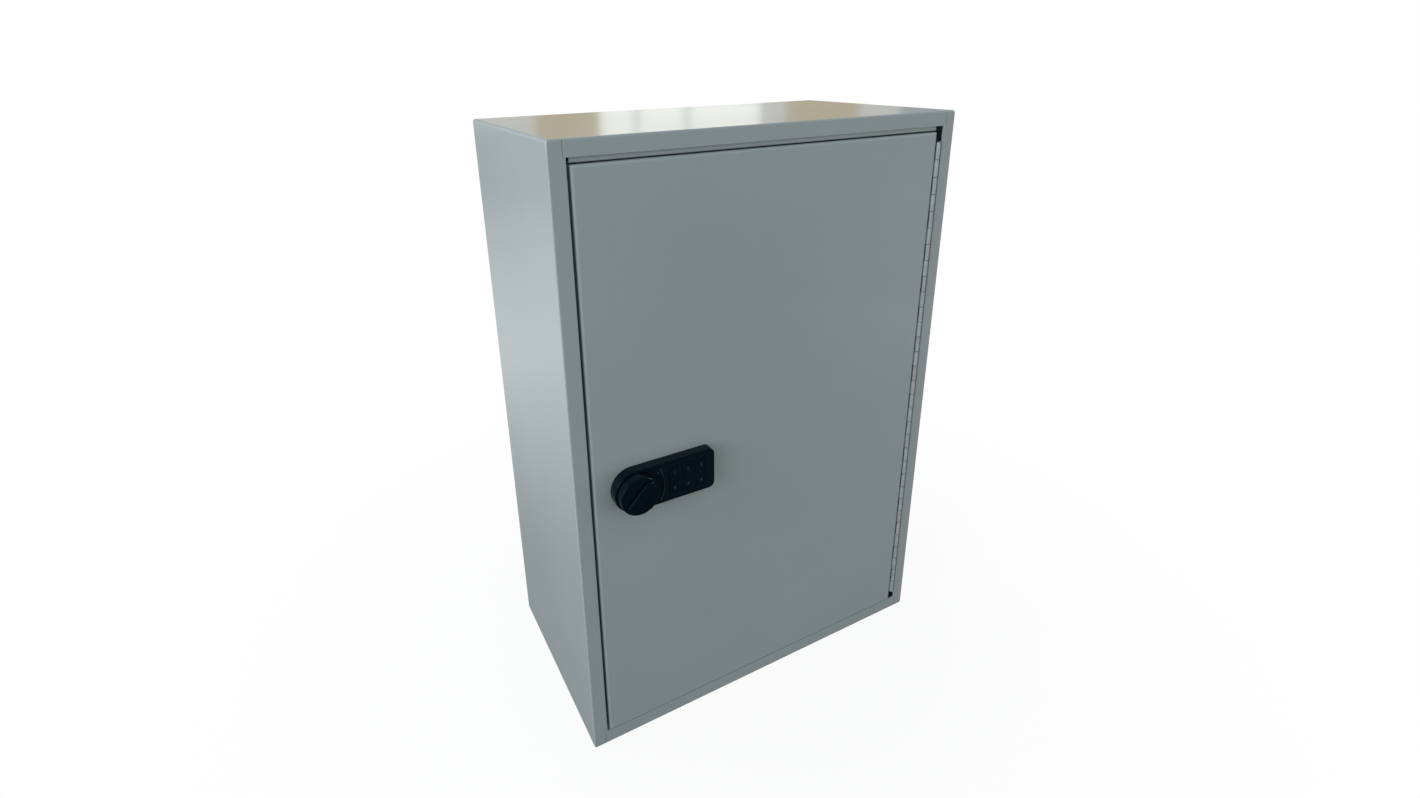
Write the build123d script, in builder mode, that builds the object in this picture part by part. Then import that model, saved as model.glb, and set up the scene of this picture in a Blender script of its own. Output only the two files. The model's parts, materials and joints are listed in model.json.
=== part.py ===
from build123d import *
import os

# Wall key cabinet of folded, painted sheet steel, with an inset door on a continuous hinge and an
# electronic cam lock. Millimetres. +Z is up, the door faces -Y, and the origin is the centre of
# the base.

# ---- driving dimensions -------------------------------------------------------------------------
WIDTH = 380.0
DEPTH = 205.0
HEIGHT = 550.0
SHEET = 1.2  # steel of the body and the door
BEND = 2.5  # outside radius of the four long corners of the body
EDGE = 1.5  # outside radius of the front edges of the body
FRONT = -DEPTH / 2
BACK = DEPTH / 2

# front frame around the door
STILE_LEFT = 13.5
STILE_RIGHT = 13.0
RAIL = 12.7  # height of the top rail
RAIL_LOW = 13.8  # height of the bottom rail
RETURN = 19.5  # the left stile folds back this far
FLOOR_RETURN = 32.0  # the bottom rail folds back this far
HINGE_NOTCH = 9.0  # length missing from the bottom return beside the hinge
INNER_BEND = 1.0  # outside radius of the stile's fold at the opening
SEAM = 0.5  # width and depth of the line where a rail butts on a stile
SEAM_SET = 2.4  # the seams lie this far outside the opening
REAR_FLANGE = 12.0  # the sides fold in this far behind the back
OPEN_LEFT = -WIDTH / 2 + STILE_LEFT
OPEN_RIGHT = WIDTH / 2 - STILE_RIGHT
OPEN_BOTTOM = RAIL_LOW
OPEN_TOP = HEIGHT - RAIL
OPEN_W = OPEN_RIGHT - OPEN_LEFT
OPEN_H = OPEN_TOP - OPEN_BOTTOM
OPEN_X = (OPEN_LEFT + OPEN_RIGHT) / 2
OPEN_Z = (OPEN_BOTTOM + OPEN_TOP) / 2

# door
DOOR_LEFT = OPEN_LEFT + 2.4
DOOR_RIGHT = 170.4
DOOR_BOTTOM = OPEN_BOTTOM + 0.4
DOOR_TOP = 532.1
DOOR_DEEP = 18.0
DOOR_BEND = 2.4  # outside radius of the folds at the top and the sides
DOOR_BEND_LOW = 0.8  # outside radius of the fold at the bottom
DOOR_LIP = 10.0
DOOR_W = DOOR_RIGHT - DOOR_LEFT
DOOR_H = DOOR_TOP - DOOR_BOTTOM
DOOR_X = (DOOR_LEFT + DOOR_RIGHT) / 2
DOOR_Z = (DOOR_BOTTOM + DOOR_TOP) / 2
DOOR_INSIDE = FRONT + SHEET
DOOR_REAR = FRONT + DOOR_DEEP
FOLD = 1.5  # outside radius of the small folds
STIFFENER_W = 40.0
STIFFENER_FOOT = 12.0
STIFFENER_GAP = 2.0  # between the stiffener and the plane of the lips
STIFFENER_END = 8.0  # between the end of the stiffener and a lip

# stops that the closed door rests on
STOP_GAP = 1.5  # between the door's rear and the stops, filled by the buffers
STOP_FACE = DOOR_REAR + STOP_GAP
STOP_BOTTOM = 522.0
STRIP_LOW = 533.0  # bottom of the strip that closes the slot above the door
STRIP_FACE = FRONT + 2 * SHEET  # the strip lies behind the hemmed edge of the rail
HEM = 8.0  # the edge of the top rail is folded back on itself this far
STOP_LOW_TOP = 23.0
STOP_LOW_L = 325.0
BUFFER_R = 3.5
BUFFER_T = 1.2
BUFFER_X = 140.0
BUFFER_EDGE = 0.4

# continuous hinge
LEAF = 0.8
PIN_R = 1.0
PIN_GAP = 0.05
BARREL_R = PIN_R + PIN_GAP + LEAF
KNUCKLES = 32
HINGE_L = 500.0
HINGE_LOW = 23.4
KNUCKLE = HINGE_L / KNUCKLES
KNUCKLE_GAP = 0.3
LEAF_GAP = 0.01  # between the door and its leaf
PIN_X = DOOR_RIGHT + LEAF_GAP + LEAF + BARREL_R
PIN_Y = FRONT + SHEET + LEAF - BARREL_R
LEAF_RELIEF = 2.25  # the flat of a leaf starts this far from the pin
TAB_OVERLAP = 0.2  # a knuckle's tab runs this far into its leaf
LEAF_END_X = WIDTH / 2 - 2.0
LEAF_END_Y = DOOR_REAR - 1.5

# electronic lock, seen from the front: a round end at the knob, a square end at the keys
LOCK_X = -140.5
LOCK_Z = 267.9
LOCK_H = 38.0
LOCK_RIGHT = -66.5
LOCK_T = 9.4
LOCK_CORNER = 5.4
LOCK_EDGE = 1.2
LOCK_WALL = 1.6
LOCK_SKIN = 1.5
LOCK_FACE = FRONT - LOCK_T
CAVITY = LOCK_FACE + LOCK_SKIN
GASKET_T = 0.5
PLATE_T = 1.0
PLATE_FACE = FRONT - GASKET_T - PLATE_T
BARREL_HOLE = 8.1
SCREW_X = (LOCK_X - 14.0, -71.5)
SCREW_R = 1.95
SCREW_CLEAR = 0.3  # radial clearance of the screws in the sheet and the plates
BOSS_R = 3.1
SCREW_HEAD_R = 3.5
SCREW_HEAD_T = 2.4
SCREW_HEAD_EDGE = 0.8
CROSS_W = 1.0  # cross recess
CROSS_L = 4.2
CROSS_DEEP = 1.4
SCREW_END = FRONT - 5.0

# keypad
KEY_W = 10.6
KEY_H = 12.2
KEY_PITCH_X = 12.7
KEY_PITCH_Z = 14.5
KEY_CORNER = 1.2
KEY_EDGE = 0.5
KEY_GAP = 0.25
KEY_PROUD = 0.7
KEY_X = -92.8
KEY_TRAVEL = 0.6
PLUNGER_SHORT = KEY_TRAVEL + 0.3  # the plunger stops this far in front of the board
PLUNGER_R = 1.5
FASCIA_T = 0.4
FASCIA_INSET = 2.6
FASCIA_CORNER = 2.8
FASCIA_GAP = 0.05
MAT_FACE = CAVITY + 0.7
MAT_T = 1.3
BOARD_T = 0.8
BOARD_FACE = MAT_FACE + MAT_T
DOME_T = 0.25
DOME_R = 1.8
DOME_TAPER = 30.0
WELL_R = 2.2
CELL_R = 10.0
CELL_T = 3.2
CELL_GAP = 0.1
CELL_EDGE = 0.4
CLIP_T = 0.25
CLIP_W = 6.0
CLIP_FOOT = 2.6
CLIP_TOUCH = 0.02  # between the back of the cell and the clip
CLIP_GAP = 0.4  # between the rim of the cell and the clip
BOARD_LEFT = -111.0
BOARD_GAP = 0.4  # between the board and the screw boss
BOARD_CORNER = 1.5
RIB_X = -115.2  # middle of the curved rib between the knob and the keys
RIB_R = 32.0
RIB_W = 1.4
RIB_SPAN = 56.0  # degrees
RIB_PROUD = 0.5
RIB_CENTRE = (RIB_X - RIB_R, LOCK_Z)
LED_X = -120.5
LED_Z = LOCK_Z + 11.5
LED_R = 1.3
LED_GAP = 0.05
LED_TAIL = 1.0
LED_EDGE = 0.3

# knob, spindle and cam
KNOB_R = 17.2
KNOB_GAP = 0.2
KNOB_SKIRT = 18.0  # height of the skirt above the door's face
KNOB_TALL = 20.4  # height of the grip above the door's face
KNOB_EDGE = 1.4
GRIP_W = 9.0
GRIP_L = 31.0
GRIP_ANGLE = 45.0
GRIP_EDGE = 0.9
DRUM_R = 9.0
DRUM_GAP = 0.3  # between the drum and the housing
DRUM_BACK = -105.5
NOTCH_DEEP = 2.5
NOTCH_W = 2.7
SHAFT_R = 5.0
BOSS_TOP = FRONT - 14.5
SLEEVE_R = 8.0
SLEEVE_FLANGE_R = 10.0
SLEEVE_FLANGE_T = 1.3
SLEEVE_END = -84.2
RUN_GAP = 0.05
FIT_GAP = 0.1  # between the square of the spindle and the cam
CAM_FACE = FRONT + 20.0
CAM_T = 3.0
CAM_REACH = 44.0
CAM_W = 16.0
CAM_SQUARE = 7.0
CAM_THREAD_R = 3.0
CAM_NUT_W = 10.0
CAM_NUT_T = 4.5
CAM_WASHER_R = 6.5
CAM_CORNER = 3.0
THREAD_END = 1.0  # the thread stands this far out of the nut
SLEEVE_NUT_W = 20.0
SLEEVE_NUT_T = 5.0
SLEEVE_WASHER_R = 10.3
WASHER_T = 1.0

# blocking pin that holds the drum
BLOCK_R = 1.25
BLOCK_Y = -107.35
BLOCK_REST = LOCK_X + DRUM_R + DRUM_GAP
BLOCK_L = 11.2
PIN_EDGE = 0.3
COIL_LEFT = -126.0
COIL_L = 9.5
COIL_T = 5.4
COIL_H = 10.0
COIL_EDGE = 0.8
COIL_CAP = 1.0  # closed end of the coil

# wall fixing
WALL_HOLE_R = 4.0
WALL_X = 260.0
WALL_Z = 390.0
WALL_MID_Z = 265.0

# hook bars
UPRIGHT_X = 162.0
UPRIGHT_W = 20.0
UPRIGHT_T = 10.0
UPRIGHT_LOW = 40.0
UPRIGHT_TALL = 480.0
UPRIGHT_FACE = BACK - SHEET - UPRIGHT_T
SLOT_W = 4.0
SLOT_H = 12.0
SLOT_PITCH = 24.0
SLOT_COUNT = 20
BARS = 5
BAR_PITCH = 96.0
BAR_TOP_Z = 500.0
BAR_L = 348.0
BAR_H = 26.0
BAR_LEDGE = 7.0
BAR_FACE = UPRIGHT_FACE - SHEET
TAB_W = 3.2
TAB_IN = 3.2
TAB_T = 1.6
TAB_LIFT = 1.0
TAB_H = 6.0
TAB_HOOK = 9.0  # height of the hooked end of a tab
HOOKS = 10
HOOK_PITCH = 33.0
HOOK_R = 1.5
HOOK_GAP = 0.02
HOOK_OUT = 30.0
HOOK_UP = 8.0
HOOK_BEND = 3.5
NUMBER_L = 340.0
NUMBER_H = 10.0
NUMBER_T = 0.6
NUMBER_LIFT = 0.5  # above the bottom edge of the bar
NUMBER_CORNER = 0.8


def facing(y):
    """Plane seen from the front at depth y: sketch x is X, sketch y is Z, extrudes towards -Y."""
    return Plane.XZ.offset(-y)


def at_edge(x, y):
    """Filter for the edges whose middle is at this X and Y."""
    return lambda edge: abs(edge.center().X - x) < 0.01 and abs(edge.center().Y - y) < 0.01


os.makedirs("parts", exist_ok=True)

# ---- body ---------------------------------------------------------------------------------------
# One strip folded round the two sides, the top and the floor, with the front frame folded in.
with BuildPart() as body_wrap:
    with BuildSketch(facing(BACK - SHEET)):
        with Locations((0, HEIGHT / 2)):
            RectangleRounded(WIDTH, HEIGHT, BEND)
    extrude(amount=DEPTH - SHEET)
    fillet(body_wrap.faces().sort_by(Axis.Y)[0].edges(), EDGE)
    with BuildSketch(facing(BACK - 2 * SHEET)):
        with Locations((0, HEIGHT / 2)):
            RectangleRounded(WIDTH - 2 * SHEET, HEIGHT - 2 * SHEET, BEND - SHEET)
    extrude(amount=DEPTH - 3 * SHEET, mode=Mode.SUBTRACT)
    with BuildSketch(facing(BACK - SHEET)):
        with Locations((0, HEIGHT / 2)):
            Rectangle(WIDTH - 2 * REAR_FLANGE, HEIGHT - 2 * REAR_FLANGE)
    extrude(amount=SHEET, mode=Mode.SUBTRACT)
    with BuildSketch(facing(FRONT + SHEET)):
        with Locations((OPEN_X, OPEN_Z)):
            Rectangle(OPEN_W, OPEN_H)
    extrude(amount=SHEET, mode=Mode.SUBTRACT)
    # the left stile and the bottom rail fold back into the body, the top rail is hemmed
    with Locations((OPEN_LEFT - SHEET / 2, FRONT + RETURN / 2, OPEN_Z)):
        Box(SHEET, RETURN, OPEN_H + 2 * SHEET)
    with Locations(((DOOR_LEFT + DOOR_RIGHT) / 2, FRONT + 1.5 * SHEET, OPEN_TOP + HEM / 2)):
        Box(DOOR_RIGHT - DOOR_LEFT, SHEET, HEM)
    floor_return_l = OPEN_W - HINGE_NOTCH + SHEET
    floor_return_x = OPEN_LEFT - SHEET + floor_return_l / 2
    with Locations((floor_return_x, FRONT + FLOOR_RETURN / 2, OPEN_BOTTOM - SHEET / 2)):
        Box(floor_return_l, FLOOR_RETURN, SHEET)
    fillet(body_wrap.edges().filter_by(at_edge(OPEN_LEFT, FRONT)), INNER_BEND)
    # the rails butt on the stiles
    for seam_x in (OPEN_LEFT - SEAM_SET, OPEN_RIGHT + SEAM_SET):
        for seam_z, seam_h in ((RAIL_LOW / 2, RAIL_LOW), (HEIGHT - RAIL / 2, RAIL)):
            with Locations((seam_x, FRONT + SEAM / 2, seam_z)):
                Box(SEAM, SEAM, seam_h, mode=Mode.SUBTRACT)
body_wrap.part.label = "body_wrap"
export_step(body_wrap.part, "parts/body_wrap.step")

# The back closes the body and carries the wall fixings.
with BuildPart() as back_panel:
    with BuildSketch(facing(BACK)):
        with Locations((0, HEIGHT / 2)):
            RectangleRounded(WIDTH, HEIGHT, BEND)
        with Locations((0, WALL_MID_Z)):
            with GridLocations(WALL_X, WALL_Z, 2, 2):
                Circle(WALL_HOLE_R, mode=Mode.SUBTRACT)
    extrude(amount=SHEET)
back_panel.part.label = "back_panel"
export_step(back_panel.part, "parts/back_panel.step")

# A folded strip behind the top rail narrows the slot above the door and stops the door.
with BuildPart() as top_stop:
    with BuildSketch(Plane.YZ.offset(DOOR_LEFT)):
        with BuildLine():
            FilletPolyline(
                (STRIP_FACE, OPEN_TOP + HEM),
                (STRIP_FACE, STRIP_LOW),
                (STOP_FACE, STRIP_LOW),
                (STOP_FACE, STOP_BOTTOM),
                radius=FOLD,
            )
            offset(amount=SHEET, side=Side.LEFT)
        make_face()
    extrude(amount=DOOR_W)
top_stop.part.label = "top_stop"
export_step(top_stop.part, "parts/top_stop.step")

# An angle on the floor return stops the bottom of the door.
with BuildPart() as bottom_stop:
    with BuildSketch(Plane.YZ.offset(DOOR_X - STOP_LOW_L / 2)):
        with BuildLine():
            FilletPolyline(
                (FRONT + FLOOR_RETURN, OPEN_BOTTOM + SHEET),
                (STOP_FACE + SHEET, OPEN_BOTTOM + SHEET),
                (STOP_FACE + SHEET, STOP_LOW_TOP),
                radius=FOLD - SHEET,
            )
            offset(amount=SHEET, side=Side.LEFT)
        make_face()
    extrude(amount=STOP_LOW_L)
bottom_stop.part.label = "bottom_stop"
export_step(bottom_stop.part, "parts/bottom_stop.step")

# Rubber pads on the stops.
with BuildPart() as door_buffers:
    for buffer_z in (DOOR_TOP - DOOR_LIP / 2, STOP_LOW_TOP - BUFFER_R - BUFFER_EDGE):
        with BuildSketch(facing(STOP_FACE)):
            with Locations((-BUFFER_X, buffer_z), (BUFFER_X, buffer_z)):
                Circle(BUFFER_R)
        extrude(amount=BUFFER_T)
    fillet(door_buffers.faces().group_by(Axis.Y)[0].edges(), BUFFER_EDGE)
door_buffers.part.label = "door_buffers"
export_step(door_buffers.part, "parts/door_buffers.step")


# ---- hinge --------------------------------------------------------------------------------------
def knuckle_sketch(tab_x, tab_y):
    """Section of a rolled knuckle with the tab that joins it to its leaf, about the pin."""
    with BuildSketch() as section:
        Circle(BARREL_R)
        with Locations(((tab_x[0] + tab_x[1]) / 2, (tab_y[0] + tab_y[1]) / 2)):
            Rectangle(tab_x[1] - tab_x[0], tab_y[1] - tab_y[0])
        Circle(PIN_R + PIN_GAP, mode=Mode.SUBTRACT)
    return section.sketch


tab_reach = (0.0, LEAF_RELIEF + TAB_OVERLAP)
frame_knuckle = knuckle_sketch(tab_reach, (BARREL_R - LEAF, BARREL_R))
door_knuckle = knuckle_sketch((-BARREL_R, -BARREL_R + LEAF), tab_reach)

with BuildPart() as hinge_leaf_frame:
    leaf_left = PIN_X + LEAF_RELIEF
    with Locations(((leaf_left + LEAF_END_X) / 2, FRONT + SHEET + LEAF / 2, HINGE_LOW + HINGE_L / 2)):
        Box(LEAF_END_X - leaf_left, LEAF, HINGE_L)
    for number in range(1, KNUCKLES, 2):
        with BuildSketch(Plane((PIN_X, PIN_Y, HINGE_LOW + number * KNUCKLE + KNUCKLE_GAP / 2))):
            add(frame_knuckle)
        extrude(amount=KNUCKLE - KNUCKLE_GAP)
hinge_leaf_frame.part.label = "hinge_leaf_frame"
export_step(hinge_leaf_frame.part, "parts/hinge_leaf_frame.step")

with BuildPart() as hinge_leaf_door:
    leaf_x = PIN_X - BARREL_R + LEAF / 2
    leaf_low = PIN_Y + LEAF_RELIEF
    with Locations((leaf_x, (leaf_low + LEAF_END_Y) / 2, HINGE_LOW + HINGE_L / 2)):
        Box(LEAF, LEAF_END_Y - leaf_low, HINGE_L)
    for number in range(0, KNUCKLES, 2):
        with BuildSketch(Plane((PIN_X, PIN_Y, HINGE_LOW + number * KNUCKLE + KNUCKLE_GAP / 2))):
            add(door_knuckle)
        extrude(amount=KNUCKLE - KNUCKLE_GAP)
hinge_leaf_door.part.label = "hinge_leaf_door"
export_step(hinge_leaf_door.part, "parts/hinge_leaf_door.step")

with BuildPart() as hinge_pin:
    with BuildSketch(Plane((PIN_X, PIN_Y, HINGE_LOW))):
        Circle(PIN_R)
    extrude(amount=HINGE_L)
hinge_pin.part.label = "hinge_pin"
export_step(hinge_pin.part, "parts/hinge_pin.step")

# ---- door ---------------------------------------------------------------------------------------
# A folded pan: the front sheet, four sides and a lip all round at the rear.
with BuildPart() as door_panel:
    with BuildSketch(facing(DOOR_REAR)):
        with Locations((DOOR_X, DOOR_Z)):
            Rectangle(DOOR_W, DOOR_H)
    extrude(amount=DOOR_DEEP)
    front_edges = door_panel.faces().sort_by(Axis.Y)[0].edges().sort_by(Axis.Z)
    fillet(front_edges[1:], DOOR_BEND)
    fillet(door_panel.faces().sort_by(Axis.Y)[0].edges().sort_by(Axis.Z)[0], DOOR_BEND_LOW)
    with BuildSketch(facing(DOOR_REAR - SHEET)):
        with Locations((DOOR_X, DOOR_Z)):
            Rectangle(DOOR_W - 2 * SHEET, DOOR_H - 2 * SHEET)
    extrude(amount=DOOR_DEEP - 2 * SHEET, mode=Mode.SUBTRACT)
    with BuildSketch(facing(DOOR_REAR)):
        with Locations((DOOR_X, DOOR_Z)):
            Rectangle(DOOR_W - 2 * DOOR_LIP, DOOR_H - 2 * DOOR_LIP)
    extrude(amount=SHEET, mode=Mode.SUBTRACT)
    with BuildSketch(facing(DOOR_INSIDE)):
        with Locations((LOCK_X, LOCK_Z)):
            Circle(BARREL_HOLE)
        with Locations(*[(x, LOCK_Z) for x in SCREW_X]):
            Circle(SCREW_R + SCREW_CLEAR)
    extrude(amount=SHEET, mode=Mode.SUBTRACT)
door_panel.part.label = "door_panel"
export_step(door_panel.part, "parts/door_panel.step")

# A hat-section stiffener up the middle of the door.
with BuildPart() as door_stiffener:
    crown = DOOR_REAR - SHEET - STIFFENER_GAP
    half = STIFFENER_W / 2
    foot = half + STIFFENER_FOOT
    with BuildSketch(Plane.XY.offset(DOOR_BOTTOM + DOOR_LIP + STIFFENER_END)):
        with BuildLine():
            FilletPolyline(
                (DOOR_X - foot, DOOR_INSIDE),
                (DOOR_X - half, DOOR_INSIDE),
                (DOOR_X - half, crown),
                (DOOR_X + half, crown),
                (DOOR_X + half, DOOR_INSIDE),
                (DOOR_X + foot, DOOR_INSIDE),
                radius=FOLD,
            )
            offset(amount=SHEET, side=Side.LEFT)
        make_face()
    extrude(amount=DOOR_H - 2 * (DOOR_LIP + STIFFENER_END))
door_stiffener.part.label = "door_stiffener"
export_step(door_stiffener.part, "parts/door_stiffener.step")


# ---- lock body ----------------------------------------------------------------------------------
def lock_outline(inset):
    """Outline of the lock drawn in by inset: a half circle at the knob, rounded at the keys."""
    with BuildSketch() as outline:
        with Locations((LOCK_X, LOCK_Z)):
            Circle(LOCK_H / 2 - inset)
        with Locations(((LOCK_X + LOCK_RIGHT - inset) / 2, LOCK_Z)):
            Rectangle(LOCK_RIGHT - inset - LOCK_X, LOCK_H - 2 * inset)
        fillet(outline.vertices().sort_by(Axis.X)[-2:], LOCK_CORNER - inset)
    return outline.sketch


key_places = [
    (KEY_X + column * KEY_PITCH_X, LOCK_Z + row * KEY_PITCH_Z)
    for row in (0.5, -0.5)
    for column in (-1, 0, 1)
]
fascia_right = LOCK_RIGHT - FASCIA_INSET
fascia_h = LOCK_H - 2 * FASCIA_INSET


def fascia_outline(grow):
    """Outline of the fascia, let out by grow: square at the right, hollow along the rib."""
    with BuildSketch() as outline:
        with Locations(((RIB_X + fascia_right) / 2 - FASCIA_CORNER, LOCK_Z)):
            Rectangle(fascia_right - RIB_X + 2 * (FASCIA_CORNER + grow), fascia_h + 2 * grow)
        fillet(outline.vertices().sort_by(Axis.X)[-2:], FASCIA_CORNER)
        with Locations(RIB_CENTRE):
            Circle(RIB_R + RIB_W - grow, mode=Mode.SUBTRACT)
    return outline.sketch



rib_line = CenterArc(RIB_CENTRE, RIB_R, -RIB_SPAN / 2, RIB_SPAN)
with BuildPart() as lock_housing:
    with BuildSketch(facing(FRONT)):
        add(lock_outline(0.0))
    extrude(amount=LOCK_T)
    fillet(lock_housing.faces().sort_by(Axis.Y)[0].edges(), LOCK_EDGE)
    with BuildSketch(facing(FRONT)):
        add(lock_outline(LOCK_WALL))
    extrude(amount=LOCK_T - LOCK_SKIN, mode=Mode.SUBTRACT)
    # openings for the spindle, the light and the keys, and the seat of the fascia
    with BuildSketch(facing(CAVITY)):
        with Locations((LOCK_X, LOCK_Z)):
            Circle(SHAFT_R + 1.0)
        with Locations((LED_X, LED_Z)):
            Circle(LED_R + LED_GAP)
        with Locations(*key_places):
            Rectangle(KEY_W + 2 * KEY_GAP, KEY_H + 2 * KEY_GAP)
    extrude(amount=LOCK_SKIN, mode=Mode.SUBTRACT)
    with BuildSketch(facing(LOCK_FACE + FASCIA_T)):
        add(fascia_outline(FASCIA_GAP))
    extrude(amount=FASCIA_T, mode=Mode.SUBTRACT)
    # a raised rib that curves round the knob
    with BuildSketch(facing(LOCK_FACE)):
        SlotArc(rib_line, RIB_W)
    extrude(amount=RIB_PROUD)
    # bosses for the two screws
    with BuildSketch(facing(PLATE_FACE)):
        with Locations(*[(x, LOCK_Z) for x in SCREW_X]):
            Circle(BOSS_R)
    extrude(amount=PLATE_FACE - CAVITY)
    with BuildSketch(facing(PLATE_FACE)):
        with Locations(*[(x, LOCK_Z) for x in SCREW_X]):
            Circle(SCREW_R + RUN_GAP)
    extrude(amount=PLATE_FACE - SCREW_END + SCREW_CLEAR, mode=Mode.SUBTRACT)
lock_housing.part.label = "lock_housing"
export_step(lock_housing.part, "parts/lock_housing.step")


def backing(face_y, thickness, sleeve_hole):
    """Flat piece behind the housing with holes for the sleeve and the two screws."""
    with BuildPart() as flat:
        with BuildSketch(facing(face_y + thickness)):
            add(lock_outline(LOCK_WALL + FIT_GAP))
            with Locations((LOCK_X, LOCK_Z)):
                Circle(sleeve_hole, mode=Mode.SUBTRACT)
            with Locations(*[(x, LOCK_Z) for x in SCREW_X]):
                Circle(SCREW_R + SCREW_CLEAR, mode=Mode.SUBTRACT)
        extrude(amount=thickness)
    return flat


lock_gasket = backing(FRONT - GASKET_T, GASKET_T, SLEEVE_R + RUN_GAP)
lock_gasket.part.label = "lock_gasket"
export_step(lock_gasket.part, "parts/lock_gasket.step")

lock_base_plate = backing(PLATE_FACE, PLATE_T, SLEEVE_R + RUN_GAP)
lock_base_plate.part.label = "lock_base_plate"
export_step(lock_base_plate.part, "parts/lock_base_plate.step")

with BuildPart() as housing_screws:
    for screw_x in SCREW_X:
        with BuildSketch(facing(DOOR_INSIDE)):
            with Locations((screw_x, LOCK_Z)):
                Circle(SCREW_R)
        extrude(amount=DOOR_INSIDE - SCREW_END)
        with BuildSketch(facing(DOOR_INSIDE + SCREW_HEAD_T)):
            with Locations((screw_x, LOCK_Z)):
                Circle(SCREW_HEAD_R)
        extrude(amount=SCREW_HEAD_T)
        with BuildSketch(facing(DOOR_INSIDE + SCREW_HEAD_T)):
            with Locations((screw_x, LOCK_Z)):
                Rectangle(CROSS_L, CROSS_W)
                Rectangle(CROSS_W, CROSS_L)
        extrude(amount=CROSS_DEEP, mode=Mode.SUBTRACT)
    head_rims = housing_screws.edges().filter_by(GeomType.CIRCLE).group_by(Axis.Y)[-1]
    fillet(head_rims, SCREW_HEAD_EDGE)
housing_screws.part.label = "housing_screws"
export_step(housing_screws.part, "parts/housing_screws.step")

# ---- keypad -------------------------------------------------------------------------------------
with BuildPart() as keypad_fascia:
    with BuildSketch(facing(LOCK_FACE + FASCIA_T)):
        add(fascia_outline(0.0))
        with Locations(*key_places):
            Rectangle(KEY_W + 2 * KEY_GAP, KEY_H + 2 * KEY_GAP, mode=Mode.SUBTRACT)
    extrude(amount=FASCIA_T)
keypad_fascia.part.label = "keypad_fascia"
export_step(keypad_fascia.part, "parts/keypad_fascia.step")

for number, (key_x, key_z) in enumerate(key_places, start=1):
    with BuildPart() as key:
        with BuildSketch(facing(CAVITY)):
            with Locations((key_x, key_z)):
                RectangleRounded(KEY_W, KEY_H, KEY_CORNER)
        extrude(amount=LOCK_SKIN + KEY_PROUD)
        fillet(key.faces().sort_by(Axis.Y)[0].edges(), KEY_EDGE)
        with BuildSketch(facing(BOARD_FACE - PLUNGER_SHORT)):
            with Locations((key_x, key_z)):
                Circle(PLUNGER_R)
        extrude(amount=BOARD_FACE - PLUNGER_SHORT - CAVITY)
    key.part.label = f"key_{number}"
    export_step(key.part, f"parts/key_{number}.step")

# Silicone mat with a well behind each key, board with a snap dome in each well.
board_right = SCREW_X[1] - BOSS_R - BOARD_GAP
board_x = (BOARD_LEFT + board_right) / 2
board_w = board_right - BOARD_LEFT
board_h = fascia_h - 1.0
with BuildPart() as keypad_mat:
    with BuildSketch(facing(BOARD_FACE)):
        with Locations((board_x, LOCK_Z)):
            RectangleRounded(board_w, board_h, BOARD_CORNER)
        with Locations(*key_places):
            Circle(WELL_R, mode=Mode.SUBTRACT)
    extrude(amount=MAT_T)
keypad_mat.part.label = "keypad_mat"
export_step(keypad_mat.part, "parts/keypad_mat.step")

with BuildPart() as circuit_board:
    with BuildSketch(facing(BOARD_FACE + BOARD_T)):
        with Locations((board_x, LOCK_Z)):
            RectangleRounded(board_w, board_h, BOARD_CORNER)
    extrude(amount=BOARD_T)
circuit_board.part.label = "circuit_board"
export_step(circuit_board.part, "parts/circuit_board.step")

with BuildPart() as dome_switches:
    for key_x, key_z in key_places:
        with BuildSketch(facing(BOARD_FACE)):
            with Locations((key_x, key_z)):
                Circle(DOME_R)
        extrude(amount=DOME_T, taper=DOME_TAPER)
dome_switches.part.label = "dome_switches"
export_step(dome_switches.part, "parts/dome_switches.step")

cell_face = BOARD_FACE + BOARD_T + CELL_GAP
with BuildPart() as coin_cell:
    with BuildSketch(facing(cell_face + CELL_T)):
        with Locations((KEY_X, LOCK_Z)):
            Circle(CELL_R)
    extrude(amount=CELL_T)
    fillet(coin_cell.edges(), CELL_EDGE)
coin_cell.part.label = "coin_cell"
export_step(coin_cell.part, "parts/coin_cell.step")

# Spring strap that holds the cell against the board.
with BuildPart() as battery_clip:
    clip_x = CELL_R + CLIP_GAP
    clip_y = cell_face + CELL_T + CLIP_TOUCH
    with BuildSketch(Plane.XY.offset(LOCK_Z - CLIP_W / 2)):
        with BuildLine():
            Polyline(
                (KEY_X - clip_x - CLIP_FOOT, cell_face),
                (KEY_X - clip_x, cell_face),
                (KEY_X - clip_x, clip_y),
                (KEY_X + clip_x, clip_y),
                (KEY_X + clip_x, cell_face),
                (KEY_X + clip_x + CLIP_FOOT, cell_face),
            )
            offset(amount=CLIP_T, side=Side.LEFT)
        make_face()
    extrude(amount=CLIP_W)
battery_clip.part.label = "battery_clip"
export_step(battery_clip.part, "parts/battery_clip.step")

with BuildPart() as led_lens:
    with BuildSketch(facing(CAVITY + LED_TAIL)):
        with Locations((LED_X, LED_Z)):
            Circle(LED_R)
    extrude(amount=LOCK_SKIN + LED_TAIL)
    fillet(led_lens.faces().sort_by(Axis.Y)[0].edges(), LED_EDGE)
led_lens.part.label = "led_lens"
export_step(led_lens.part, "parts/led_lens.step")

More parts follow.
